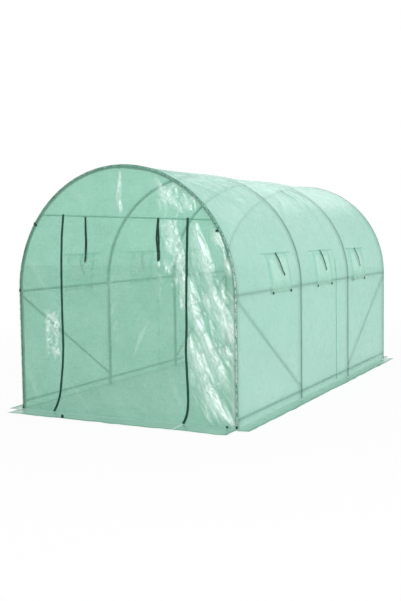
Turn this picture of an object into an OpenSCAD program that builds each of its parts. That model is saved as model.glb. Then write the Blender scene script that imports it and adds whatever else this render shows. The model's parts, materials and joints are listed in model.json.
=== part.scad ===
// Polytunnel greenhouse: a round-topped tube frame under a woven film cover.
// Units are millimetres. X runs across, Y runs from front to back and Z is up.
// The origin is on the ground, at the middle of the footprint.

/* [Frame] */
// Overall width across the outsides of the hoops
tunnel_width = 2000; // [1600:50:3000]
// Overall length over the front and rear hoops
tunnel_length = 4000; // [3600:50:6000]
// Height of the straight legs, up to where the arch starts
leg_height = 1000; // [800:10:1400]
// Diameter of the hoop tube
hoop_tube = 25; // [22:1:38]
// Diameter of the tubes that run between the hoops
rail_tube = 19; // [14:1:20]
// Diameter of the slanting braces
brace_tube = 16; // [12:1:18]
// Height of the middle of the lower rails
base_rail_height = 70; // [40:5:150]
// Height on the hoop leg where the lower end of a brace meets it
brace_foot_height = 105; // [100:5:200]
// Drop from the top of a leg to the upper end of a brace
brace_head_drop = 36; // [36:1:80]

/* [Cover] */
// Thickness of the film
film = 2; // [1:0.5:3]
// Clearance between the film and the hoops under it
film_gap = 0.3; // [0.1:0.1:1]
// Height of the seam that crosses the front above the door
seam_height = 1575; // [1500:5:1640]
// Reach of the ground flap in front and behind
end_skirt = 200; // [60:10:300]
// Reach of the ground flap at the sides
side_skirt = 108; // [60:2:300]
// Distance the side flap runs past the front and the rear
skirt_overrun = 40; // [0:5:60]
// Slit in the front ground flap at each side of the door
skirt_slit = 6; // [2:1:20]

/* [Door] */
// Distance from the middle to the left zip, at its straight part
zip_left = 572; // [400:2:620]
// Distance from the middle to the right zip, at its straight part
zip_right = 583; // [400:2:620]
// Lean of the left zip towards the middle at its top
zip_left_lean = 34; // [0:1:60]
// Lean of the right zip away from the middle at its top
zip_right_lean = 19; // [0:1:60]
// Distance the left zip runs outwards at its foot
zip_left_foot = 104; // [0:1:120]
// Distance the right zip runs inwards at its foot
zip_right_foot = 52; // [0:1:120]
// Height where the left zip starts to bend outwards
zip_left_knee = 430; // [200:10:700]
// Height where the right zip starts to bend inwards
zip_right_knee = 170; // [100:10:700]
// Width of a zip
zip_width = 20; // [8:1:30]
// Distance a zip stands out past the film
zip_proud = 1.5; // [0.5:0.5:4]
// Distance from the middle to the left strap
strap_left = 322; // [150:2:380]
// Distance from the middle to the right strap
strap_right = 345; // [150:2:380]
// Length of the part of a door strap that hangs below the seam
strap_drop = 320; // [150:10:500]
// Length of the part of a door strap above the seam
strap_rise = 20; // [5:5:50]
// Width of a door strap
strap_width = 22; // [15:1:40]
// Thickness of all straps
strap_thick = 2; // [1:0.5:4]

/* [Windows] */
// Distance between the middles of the windows
window_pitch = 1065; // [800:5:1200]
// Distance from the middle of the building to the middle window, to the front
window_shift = 45; // [0:5:100]
// Width of a window opening
window_width = 340; // [200:10:380]
// Angle above the top of the legs where a window opening starts
window_low = 3.5; // [2:0.5:6]
// Angle above the top of the legs where a window opening ends
window_high = 14.5; // [10:0.5:15]
// Width of a window flap
flap_width = 420; // [400:5:500]
// Angle above the top of the legs where a window flap starts
flap_low = 0.3; // [0.1:0.1:1.5]
// Angle above the top of the legs where a window flap is sewn on
flap_high = 17.6; // [16:0.1:22]
// Clearance between the cover and what hangs over it
flap_gap = 0.3; // [0.1:0.1:1]
// Thickness of the net in a window
net_thick = 1; // [0.5:0.5:2]
// Distance from the middle of a window to its strap, to the front
window_strap_shift = 60; // [0:5:120]
// Width of a window strap
window_strap_width = 20; // [10:1:30]
// Angle above the top of the legs where a window strap ends
window_strap_low = 7.2; // [4:0.2:12]

/* [Hidden] */
hoop_radius = (tunnel_width - hoop_tube) / 2;
hoop_y = (tunnel_length - hoop_tube) / 2;
bay = 2 * hoop_y / 3;
film_in = tunnel_width / 2 + film_gap;
film_out = film_in + film;
end_in = tunnel_length / 2 + film_gap;
end_out = end_in + film;
window_mid = -window_shift;
net_out = film_out - (film - net_thick) / 2;
flap_in = film_out + flap_gap;
past = 20;
$fn = 96;
round_top = 360;

// Colours
steel = [0.60, 0.66, 0.63];
leaf = [0.62, 0.83, 0.75];
leaf_low = [0.56, 0.78, 0.69];
dark = [0.10, 0.28, 0.22];

// Distance of a hoop and of a window from the middle, towards the rear
function hoop_place(i) = -hoop_y + (i - 1) * bay;
function window_place(i) = window_mid + (i - 2) * window_pitch;

// Lays a flat drawing upright, facing the front, with its rear face at y
module upright(y, depth) {
  translate([0, y, 0])
    rotate([90, 0, 0])
      linear_extrude(depth)
        children();
}

// Turns a drawing of [radius, length] about the middle line of the arch,
// on the right side, between two angles above the top of the legs
module bent(low, high, r_in, r_out, y_mid, long) {
  translate([0, y_mid + long / 2, leg_height])
    rotate([90, 0, 0])
      rotate([0, 0, low])
        rotate_extrude(angle = high - low)
          translate([r_in, 0])
            square([r_out - r_in, long]);
}

// Frame
module arch(i) {
  color(steel)
    translate([0, hoop_place(i), leg_height])
      rotate([90, 0, 0])
        rotate_extrude(angle = 180)
          translate([hoop_radius, 0])
            circle(d = hoop_tube);
}

module leg(side, i) {
  translate([side * hoop_radius, hoop_place(i), 0])
    cylinder(h = leg_height, d = hoop_tube);
}

module legs(i) {
  color(steel) {
    leg(-1, i);
    leg(1, i);
  }
}

// The space that the legs of one side take up, carried on past their tops
module leg_space(side) {
  for (i = [1:4])
    translate([side * hoop_radius, hoop_place(i), 0])
      cylinder(h = leg_height + rail_tube, d = hoop_tube);
}

// A rail in three lengths, with each end shaped to the leg that it meets
module leg_rail(side, height) {
  color(steel)
    difference() {
      translate([side * hoop_radius, -hoop_y, height])
        rotate([-90, 0, 0])
          cylinder(h = 2 * hoop_y, d = rail_tube);
      leg_space(side);
    }
}

module ridge() {
  color(steel)
    difference() {
      translate([0, -hoop_y, leg_height + hoop_radius])
        rotate([-90, 0, 0])
          cylinder(h = 2 * hoop_y, d = rail_tube);
      for (i = [1:4])
        translate([0, hoop_place(i), leg_height])
          rotate([90, 0, 0])
            rotate_extrude(angle = 180)
              translate([hoop_radius, 0])
                circle(d = hoop_tube);
    }
}

// A brace from the top of one leg down to the foot of another
module brace(side, head, foot) {
  head_z = leg_height - brace_head_drop;
  run = hoop_place(foot) - hoop_place(head);
  fall = head_z - brace_foot_height;
  slope = atan2(run, -fall);
  reach = sqrt(run * run + fall * fall);
  color(steel)
    difference() {
      translate([side * hoop_radius, hoop_place(head), head_z])
        rotate([-slope, 0, 0])
          cylinder(h = reach, d = brace_tube);
      leg(side, head);
      leg(side, foot);
    }
}

// Cover: outline of an end wall
module end_outline() {
  translate([-film_out, 0])
    square([2 * film_out, leg_height]);
  intersection() {
    translate([0, leg_height])
      circle(r = film_out, $fn = round_top);
    translate([-film_out, leg_height])
      square([2 * film_out, film_out]);
  }
}

module roof() {
  color(leaf)
    difference() {
      upright(end_in, 2 * end_in)
        difference() {
          intersection() {
            translate([0, leg_height])
              circle(r = film_out, $fn = round_top);
            translate([-film_out, leg_height])
              square([2 * film_out, film_out]);
          }
          translate([0, leg_height])
            circle(r = film_in, $fn = round_top);
        }
      window_holes();
      mirror([1, 0, 0])
        window_holes();
    }
}

module window_holes() {
  for (i = [1:3])
    bent(window_low, window_high, film_in - past, film_out + past, window_place(i), window_width);
}

module wall_cover(side) {
  left = side > 0 ? film_in : -film_out;
  color(leaf_low)
    translate([left, -end_in, 0])
      cube([film, 2 * end_in, leg_height]);
}

module rear() {
  color(leaf)
    upright(end_out, film)
      end_outline();
}

// Middle line of each zip, from the seam down to the ground
left_line = [
  [-zip_left + zip_left_lean, seam_height],
  [-zip_left, leg_height],
  [-zip_left, zip_left_knee],
  [-zip_left - zip_left_foot, 0]
];
right_line = [
  [zip_right + zip_right_lean, seam_height],
  [zip_right, leg_height],
  [zip_right, zip_right_knee],
  [zip_right - zip_right_foot, 0]
];

// Region on one side of a zip line, moved across by a distance
function beside(line, move, wall) = [
  [line[0][0] + move, line[0][1]],
  [line[1][0] + move, line[1][1]],
  [line[2][0] + move, line[2][1]],
  [line[3][0] + move, line[3][1]],
  [wall, line[3][1]],
  [wall, line[0][1]]
];

function band(line, half) = [
  [line[0][0] + half, line[0][1]],
  [line[1][0] + half, line[1][1]],
  [line[2][0] + half, line[2][1]],
  [line[3][0] + half, line[3][1]],
  [line[3][0] - half, line[3][1]],
  [line[2][0] - half, line[2][1]],
  [line[1][0] - half, line[1][1]],
  [line[0][0] - half, line[0][1]]
];

function between(left, right, half) = [
  [left[0][0] + half, left[0][1]],
  [left[1][0] + half, left[1][1]],
  [left[2][0] + half, left[2][1]],
  [left[3][0] + half, left[3][1]],
  [right[3][0] - half, right[3][1]],
  [right[2][0] - half, right[2][1]],
  [right[1][0] - half, right[1][1]],
  [right[0][0] - half, right[0][1]]
];

module front_top() {
  color(leaf)
    upright(-end_in, film)
      intersection() {
        end_outline();
        translate([-film_out - past, seam_height])
          square([2 * (film_out + past), film_out]);
      }
}

module front_side(line, move, wall) {
  color(leaf_low)
    upright(-end_in, film)
      intersection() {
        end_outline();
        polygon(beside(line, move, wall));
      }
}

module front_left() {
  front_side(left_line, -zip_width / 2, -film_out - past);
}

module front_right() {
  front_side(right_line, zip_width / 2, film_out + past);
}

module door() {
  color(leaf_low)
    upright(-end_in, film)
      polygon(between(left_line, right_line, zip_width / 2));
}

module door_zip(line) {
  color(dark)
    difference() {
      upright(-end_in, film + zip_proud)
        polygon(band(line, zip_width / 2));
      ground_flap_front(-film_out, film_out);
    }
}

module door_strap(x) {
  color(dark)
    translate([x - strap_width / 2, -end_out - strap_thick, seam_height - strap_drop])
      cube([strap_width, strap_thick, strap_drop + strap_rise]);
}

// Ground flaps
module flat_piece(x_1, x_2, y_1, y_2) {
  color(leaf_low)
    translate([x_1, y_1, 0])
      cube([x_2 - x_1, y_2 - y_1, film]);
}

module ground_flap_side(side) {
  inner = side > 0 ? film_out : -film_out - side_skirt;
  long = end_out + skirt_overrun;
  flat_piece(inner, inner + side_skirt, -long, long);
}

module ground_flap_end() {
  flat_piece(-film_out, film_out, end_out, end_out + end_skirt);
}

module ground_flap_front(x_1, x_2) {
  flat_piece(x_1, x_2, -end_out - end_skirt, -end_out);
}

// Windows
module window_flap(side, i) {
  color(leaf)
    mirror([side > 0 ? 0 : 1, 0, 0])
      bent(flap_low, flap_high, flap_in, flap_in + film, window_place(i), flap_width);
}

module nets() {
  color(leaf_low)
    for (flip = [0:1])
      mirror([flip, 0, 0])
        for (i = [1:3])
          bent(window_low, window_high, net_out - net_thick, net_out, window_place(i), window_width);
}

module straps() {
  strap_in = flap_in + film + flap_gap;
  color(dark)
    for (flip = [0:1])
      mirror([flip, 0, 0])
        for (i = [1:3])
          bent(window_strap_low, flap_high, strap_in, strap_in + strap_thick,
            window_place(i) - window_strap_shift, window_strap_width);
}

arch(1);  // hoop_1_arch
arch(2);  // hoop_2_arch
arch(3);  // hoop_3_arch
arch(4);  // hoop_4_arch
legs(1);  // hoop_1_legs
legs(2);  // hoop_2_legs
legs(3);  // hoop_3_legs
legs(4);  // hoop_4_legs
ridge();  // ridge_pole
leg_rail(-1, leg_height);  // side_rail_left
leg_rail(1, leg_height);  // side_rail_right
leg_rail(-1, base_rail_height);  // base_rail_left
leg_rail(1, base_rail_height);  // base_rail_right
brace(-1, 1, 2);  // brace_front_left
brace(1, 1, 2);  // brace_front_right
brace(-1, 4, 3);  // brace_rear_left
brace(1, 4, 3);  // brace_rear_right
roof();  // roof_cover
wall_cover(-1);  // wall_cover_left
wall_cover(1);  // wall_cover_right
rear();  // rear_wall
front_top();  // front_wall_top
front_left();  // front_wall_left
front_right();  // front_wall_right
door();  // door_panel
door_zip(left_line);  // door_zip_left
door_zip(right_line);  // door_zip_right
door_strap(-strap_left);  // door_strap_left
door_strap(strap_right);  // door_strap_right
ground_flap_side(-1);  // ground_flap_left
ground_flap_side(1);  // ground_flap_right
ground_flap_end();  // ground_flap_rear
ground_flap_front(-film_out, left_line[3][0] - skirt_slit / 2);  // ground_flap_front_left
ground_flap_front(right_line[3][0] + skirt_slit / 2, film_out);  // ground_flap_front_right
ground_flap_front(left_line[3][0] + skirt_slit / 2, right_line[3][0] - skirt_slit / 2);  // ground_flap_door
window_flap(-1, 1);  // window_flap_left_1
window_flap(-1, 2);  // window_flap_left_2
window_flap(-1, 3);  // window_flap_left_3
window_flap(1, 1);  // window_flap_right_1
window_flap(1, 2);  // window_flap_right_2
window_flap(1, 3);  // window_flap_right_3
nets();  // window_nets
straps();  // window_straps
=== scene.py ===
import json
import math

import bpy
import numpy as np
from mathutils import Matrix, Vector

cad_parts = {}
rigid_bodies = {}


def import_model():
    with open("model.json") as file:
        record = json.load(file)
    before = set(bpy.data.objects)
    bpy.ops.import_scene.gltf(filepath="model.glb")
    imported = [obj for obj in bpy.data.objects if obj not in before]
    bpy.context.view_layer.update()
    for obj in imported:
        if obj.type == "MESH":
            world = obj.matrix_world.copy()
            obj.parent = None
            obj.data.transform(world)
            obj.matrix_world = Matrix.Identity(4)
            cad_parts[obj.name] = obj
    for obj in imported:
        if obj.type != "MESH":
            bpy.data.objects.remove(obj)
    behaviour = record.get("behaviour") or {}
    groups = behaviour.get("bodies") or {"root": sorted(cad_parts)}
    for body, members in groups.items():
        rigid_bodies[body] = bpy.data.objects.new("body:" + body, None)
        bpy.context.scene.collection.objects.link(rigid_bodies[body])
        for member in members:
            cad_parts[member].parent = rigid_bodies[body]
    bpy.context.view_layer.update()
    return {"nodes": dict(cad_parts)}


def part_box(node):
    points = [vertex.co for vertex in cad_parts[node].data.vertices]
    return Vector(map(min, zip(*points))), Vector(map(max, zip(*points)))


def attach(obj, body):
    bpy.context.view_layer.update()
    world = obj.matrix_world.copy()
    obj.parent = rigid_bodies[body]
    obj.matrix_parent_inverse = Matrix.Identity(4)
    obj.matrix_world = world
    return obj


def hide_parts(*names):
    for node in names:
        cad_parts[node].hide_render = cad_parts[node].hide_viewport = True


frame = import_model()
scene = bpy.context.scene
scene.view_settings.view_transform = "Standard"
ROOT = "root"

# ------------------------------------------------------------ sizes, all from the frame
arch_low, arch_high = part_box("hoop_1_arch")
rear_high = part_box("hoop_4_arch")[1]
TUBE = arch_high.y - arch_low.y
LEG_TOP = arch_low.z
HOOP_R = arch_high.x - TUBE / 2
HOOP_Y = rear_high.y - TUBE / 2
HOOP_YS = [-HOOP_Y + 2 * HOOP_Y * i / 3 for i in range(4)]
SKIN = 0.0012
WRAP_R = TUBE / 2 + SKIN
FILM_R = HOOP_R + WRAP_R
END_Y = HOOP_Y + WRAP_R
ARCH_RUN = math.pi * FILM_R
GIRTH = 2 * LEG_TOP + ARCH_RUN
WRAP_RUN = WRAP_R * math.pi / 2
SIDE_RAIL_Z = sum(corner.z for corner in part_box("side_rail_left")) / 2
BASE_RAIL_Z = sum(corner.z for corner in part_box("base_rail_left")) / 2
FILM_GRID = 0.022
CREASE_GRID = 0.0075
NARROWEST_SHEET = 0.01
RIM_CENTRE_Z = 0.4


# ------------------------------------------------------------ small helpers
def bare():
    """Nothing is selected."""
    if bpy.context.object and bpy.context.object.mode != "OBJECT":
        bpy.ops.object.mode_set(mode="OBJECT")
    for item in bpy.context.view_layer.objects:
        item.select_set(False)


def only(obj):
    """Only this piece is selected, and it is the active one."""
    bare()
    obj.select_set(True)
    bpy.context.view_layer.objects.active = obj


def on_whole_mesh(obj, operator, **settings):
    """Runs one of edit mode's operators on all of a piece."""
    only(obj)
    bpy.ops.object.mode_set(mode="EDIT")
    bpy.ops.mesh.select_all(action="SELECT")
    operator(**settings)
    bpy.ops.object.mode_set(mode="OBJECT")


def even_steps(stops, step):
    """Places along a line: every stop, and steps between them no longer than step."""
    places = []
    for start, end in zip(stops[:-1], stops[1:]):
        count = max(1, math.ceil((end - start) / step - 1e-6))
        places.extend(np.linspace(start, end, count + 1)[:-1])
    return np.array(places + [stops[-1]])


def smooth_curve(points, rounding=0.12):
    """A function of the first number of each point that runs smoothly through the second."""
    at = np.array([p[0] for p in points], float)
    to = np.array([p[1] for p in points], float)
    fine = np.linspace(at[0], at[-1], 400)
    spread = max(1, int(400 * rounding / 2))
    window = np.hanning(2 * spread + 1)[1:-1]
    padded = np.pad(np.interp(fine, at, to), spread - 1, mode="reflect", reflect_type="odd")
    eased = np.convolve(padded, window / window.sum(), mode="same")[spread - 1:spread - 1 + 400]
    return lambda x: np.interp(x, fine, eased)


def ripples(count, longest, shortest, seed):
    """A gentle uneven surface of crossing waves, between -1 and 1."""
    draw = np.random.default_rng(seed)
    lengths = np.exp(draw.uniform(math.log(shortest), math.log(longest), count))
    headings = draw.uniform(0, math.pi, count)
    starts = draw.uniform(0, 2 * math.pi, count)
    shares = np.sqrt(lengths) / np.sqrt(lengths).sum()

    def height(a, b):
        total = np.zeros(np.broadcast(a, b).shape)
        for length, heading, start, share in zip(lengths, headings, starts, shares):
            along = a * math.cos(heading) + b * math.sin(heading)
            total = total + share * np.cos(2 * math.pi * along / length + start)
        return total * 2.2

    return height


def crease(a, b, path, reach, rise, lean=0.0, sharp=1.25):
    """Height of one fold in the film, dying out at both ends. With lean, one side falls off more steeply."""
    path = np.array(path, float)
    legs = np.linalg.norm(np.diff(path, axis=0), axis=1)
    nearest = np.full(np.broadcast(a, b).shape, 1e9)
    place = np.zeros_like(nearest)
    hand = np.zeros_like(nearest)
    walked = 0.0
    for start, end, leg in zip(path[:-1], path[1:], legs):
        way = (end - start) / leg
        along = np.clip((a - start[0]) * way[0] + (b - start[1]) * way[1], 0, leg)
        off = np.hypot(a - start[0] - along * way[0], b - start[1] - along * way[1])
        closer = off < nearest
        nearest = np.where(closer, off, nearest)
        place = np.where(closer, (walked + along) / legs.sum(), place)
        across = (b - start[1]) * way[0] - (a - start[0]) * way[1]
        hand = np.where(closer, np.sign(across), hand)
        walked += leg
    swell = np.sin(math.pi * np.clip(place, 0, 1))
    width = reach * (0.5 + 0.5 * swell) * (1 - lean * hand)
    return rise * swell ** 0.4 * np.clip(1 - nearest / width, 0, 1) ** sharp


def small_folds(count, seed, box_a, box_b, long, reach, rise, upright=0.5, slant=0.0, stray=0.45):
    """Short folds scattered over part of a sheet."""
    draw = np.random.default_rng(seed)
    folds = []
    for _ in range(count):
        a = draw.uniform(*box_a)
        b = draw.uniform(*box_b)
        turn = slant + draw.normal(0, stray) + (math.pi / 2 if draw.random() < upright else 0)
        half = draw.uniform(*long) / 2
        bow = draw.uniform(-0.15, 0.15) * half
        da, db = math.cos(turn) * half, math.sin(turn) * half
        path = [(a - da, b - db), (a + bow, b - bow), (a + da, b + db)]
        height = draw.uniform(*rise) * (1 if draw.random() < 0.6 else -1)
        folds.append((path, draw.uniform(*reach), height))
    return folds


def folded(a, b, folds):
    """Height of a list of folds, each its path, its reach, its rise and perhaps its lean."""
    total = 0.0
    for fold in folds:
        total = total + crease(a, b, *fold)
    return total


# ------------------------------------------------------------ sheets
def sheet_from_grid(name, rows, columns, surface, keep=None, cut=None, merge=False,
                    white_and_glint=None, painted_shade=None):
    """A single sheet over the grid of rows by columns. surface places it, and cut gives its flat places.

    Two markings may be written on it, each from 0 to 1: how far the film is painted white, whitened by
    folding and painted highlight of glints, and how far painted shade darkens it where a tube lies behind it
    or where it is pressed in. keep leaves out the parts of the grid where it is False.
    """
    u, v = np.meshgrid(rows, columns, indexing="ij")
    points = np.stack(surface(u, v), axis=-1).reshape(-1, 3)
    flat = np.stack(cut(u, v) if cut else (u, v), axis=-1).reshape(-1, 2)
    count = len(columns)
    i, j = np.meshgrid(np.arange(len(rows) - 1), np.arange(count - 1), indexing="ij")
    corner = (i * count + j).ravel()
    faces = np.stack([corner, corner + count, corner + count + 1, corner + 1], axis=-1)
    if keep:
        middle_u = ((rows[:-1] + rows[1:]) / 2)[:, None] + np.zeros((1, count - 1))
        middle_v = ((columns[:-1] + columns[1:]) / 2)[None, :] + np.zeros((len(rows) - 1, 1))
        faces = faces[keep(middle_u, middle_v).ravel()]
    used, faces = np.unique(faces, return_inverse=True)
    faces = faces.reshape(-1, 4)
    mesh = bpy.data.meshes.new(name)
    mesh.from_pydata(points[used].tolist(), [], faces.tolist())
    layer = mesh.uv_layers.new(name="cloth")
    layer.data.foreach_set("uv", flat[used][faces.ravel()].ravel().astype(np.float32))
    for label, marking in (("white_and_glint", white_and_glint), ("painted_shade", painted_shade)):
        if marking:
            marks = np.clip(marking(u, v), 0, 1).ravel()[used]
            mesh.attributes.new(label, "FLOAT", "POINT").data.foreach_set("value", marks.astype(np.float32))
    mesh.update()
    obj = bpy.data.objects.new(name, mesh)
    scene.collection.objects.link(obj)
    if merge:
        on_whole_mesh(obj, bpy.ops.mesh.remove_doubles, threshold=0.0001)
    return obj


def face_outwards(obj, way):
    """Turns a sheet over if most of it faces against way, the outward direction at a face's centre."""
    total = 0.0
    for face in obj.data.polygons:
        total += face.area * face.normal.dot(way(face.center))
    if total < 0:
        on_whole_mesh(obj, bpy.ops.mesh.flip_normals)
    bare()


def from_axis(centre):
    """Outward from the middle of the tunnel."""
    return Vector((centre.x, 0, max(0.0, centre.z - LEG_TOP)))


def to_the_front(centre):
    """Outward from the front wall, the same all over it."""
    return Vector((0, -1, 0))


def to_the_rear(centre):
    """Outward from the rear wall."""
    return Vector((0, 1, 0))


def upwards(centre):
    """Up from the ground."""
    return Vector((0, 0, 1))


def round_the_rim(side, along=2):
    """Outward from an end hoop: away from the tunnel's middle and, by the share along, past its end."""
    return lambda centre: Vector((centre.x, side * along, centre.z - RIM_CENTRE_Z))


def finish(obj, material, smooth=True):
    """Gives a piece its finish and fixes it to the tunnel."""
    only(obj)
    if smooth:
        bpy.ops.object.shade_smooth()
    obj.data.materials.clear()
    obj.data.materials.append(material)
    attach(obj, ROOT)
    bare()
    return obj


def film_sheet(obj, material, flat, way):
    face_outwards(obj, way)
    finish(obj, material)
    if min(flat) < NARROWEST_SHEET:
        return obj
    return obj


def ribbon(name, surface, path, width, out, step=0.006, across=4, crown=0.0, ridge=None):
    """A tape laid along a path on a surface, and its length. out is how far it stands off, or works it out.

    crown raises its middle, and ridge adds a pattern of its own to its height.
    """
    path = np.array(path, float)
    legs = np.linalg.norm(np.diff(path, axis=0), axis=1)
    reached = np.concatenate([[0], np.cumsum(legs)])
    long = reached[-1]
    way_u = smooth_curve(list(zip(reached, path[:, 0])), 0.08)
    way_v = smooth_curve(list(zip(reached, path[:, 1])), 0.08)
    rows = even_steps([0.0, long], step)
    columns = np.linspace(-width / 2, width / 2, across + 1)

    near = 0.002

    def place(run, side):
        du = way_u(np.clip(run + near, 0, long)) - way_u(np.clip(run - near, 0, long))
        dv = way_v(np.clip(run + near, 0, long)) - way_v(np.clip(run - near, 0, long))
        size = np.maximum(np.hypot(du, dv), 1e-9)
        lift = out(run, side) if callable(out) else out
        lift = lift + crown * (1 - (2 * side / width) ** 2)
        if ridge:
            lift = lift + ridge(run, side)
        return surface(way_u(run) - side * dv / size, way_v(run) + side * du / size, lift)

    return sheet_from_grid(name, rows, columns, place), long


# ------------------------------------------------------------ finishes
class Nodes:
    """A node tree being put together, for a material or for the surround."""

    def __init__(self, owner):
        owner.use_nodes = True
        self.tree = owner.node_tree
        self.tree.nodes.clear()

    def join(self, value, socket):
        if isinstance(value, bpy.types.NodeSocket):
            self.tree.links.new(value, socket)
        elif isinstance(value, tuple) and len(value) == 3 and socket.type == "RGBA":
            socket.default_value = (*value, 1.0)
        else:
            socket.default_value = value

    def add(self, kind, **sockets):
        node = self.tree.nodes.new(kind)
        for name, value in sockets.items():
            self.join(value, node.inputs[name.replace("_", " ")])
        return node

    def math(self, operation, *values, clamp=False):
        node = self.tree.nodes.new("ShaderNodeMath")
        node.operation = operation
        node.use_clamp = clamp
        for place, value in enumerate(values):
            self.join(value, node.inputs[place])
        return node.outputs[0]

    def colours(self, share, first, second):
        node = self.tree.nodes.new("ShaderNodeMix")
        node.data_type = "RGBA"
        self.join(share, node.inputs[0])
        self.join(first, node.inputs[6])
        self.join(second, node.inputs[7])
        return node.outputs[2]

    def fit(self, value, low, high, to_low, to_high):
        node = self.tree.nodes.new("ShaderNodeMapRange")
        for place, item in enumerate((value, low, high, to_low, to_high)):
            self.join(item, node.inputs[place])
        return node.outputs[0]

    def noise(self, where, scale, detail=3.0, rough=0.55, distort=0.0):
        node = self.add("ShaderNodeTexNoise", Vector=where, Scale=scale, Detail=detail, Roughness=rough,
                        Distortion=distort)
        return node.outputs["Fac"]

    def patches(self, where, scale, detail=3.0, rough=0.6, low=0.3, high=0.7):
        """Soft patches, 0 between them and 1 inside them."""
        return self.fit(self.noise(where, scale, detail, rough), low, high, 0.0, 1.0)

    def stretched(self, where, scale, turn=(0.0, 0.0, 0.0)):
        node = self.add("ShaderNodeMapping", Vector=where, Rotation=turn, Scale=scale)
        return node.outputs[0]

    def object_place(self):
        return self.add("ShaderNodeTexCoord").outputs["Object"]

    def cloth_place(self):
        node = self.add("ShaderNodeUVMap")
        node.uv_map = "cloth"
        parts = self.add("ShaderNodeSeparateXYZ", Vector=node.outputs[0])
        return node.outputs[0], parts.outputs[0], parts.outputs[1]

    def marks(self, label):
        """What sheet_from_grid wrote on the piece under this label, or 0."""
        node = self.add("ShaderNodeAttribute")
        node.attribute_name = label
        return node.outputs["Fac"]

    def wave(self, along, pitch):
        """Threads side by side, 0 between them and 1 on top."""
        turn = self.math("MULTIPLY", along, 2 * math.pi / pitch)
        return self.fit(self.math("SINE", turn), -1.0, 1.0, 0.0, 1.0)

    def bump(self, height, strength, distance, under=None):
        node = self.add("ShaderNodeBump", Strength=strength, Distance=distance, Height=height)
        if under:
            self.join(under, node.inputs["Normal"])
        return node.outputs[0]

    def seen_or_mirrored(self, path):
        """1 for rays from the eye, straight or through something clear, and for mirrored ones."""
        straight = self.math("MAXIMUM", path.outputs["Is Camera Ray"], path.outputs["Is Transmission Ray"])
        return self.math("MAXIMUM", straight, path.outputs["Is Glossy Ray"])


class Finish(Nodes):
    """A material being put together."""

    def __init__(self, name):
        self.material = bpy.data.materials.new(name)
        super().__init__(self.material)

    def blend(self, share, first, second):
        """Two shaders mixed."""
        node = self.add("ShaderNodeMixShader", Fac=share)
        self.join(first.outputs[0], node.inputs[1])
        self.join(second.outputs[0], node.inputs[2])
        return node

    def done(self, shader):
        """The finished material."""
        self.add("ShaderNodeOutputMaterial", Surface=shader.outputs[0])
        return self.material


# Painted colours: white for folds, partly whitening and partly painted highlight, and dark green for painted
# shade.
GLINT_AND_CREASE_WHITE = (0.93, 0.98, 0.96)
PAINTED_SHADE_GREEN = (0.10, 0.36, 0.27)
FILM_IOR = 1.7
GLINT_STREAK_SLANT = -0.42
TAPE_PITCHES = (0.0172, 0.0148)
THREAD_PITCH = 0.0031


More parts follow.
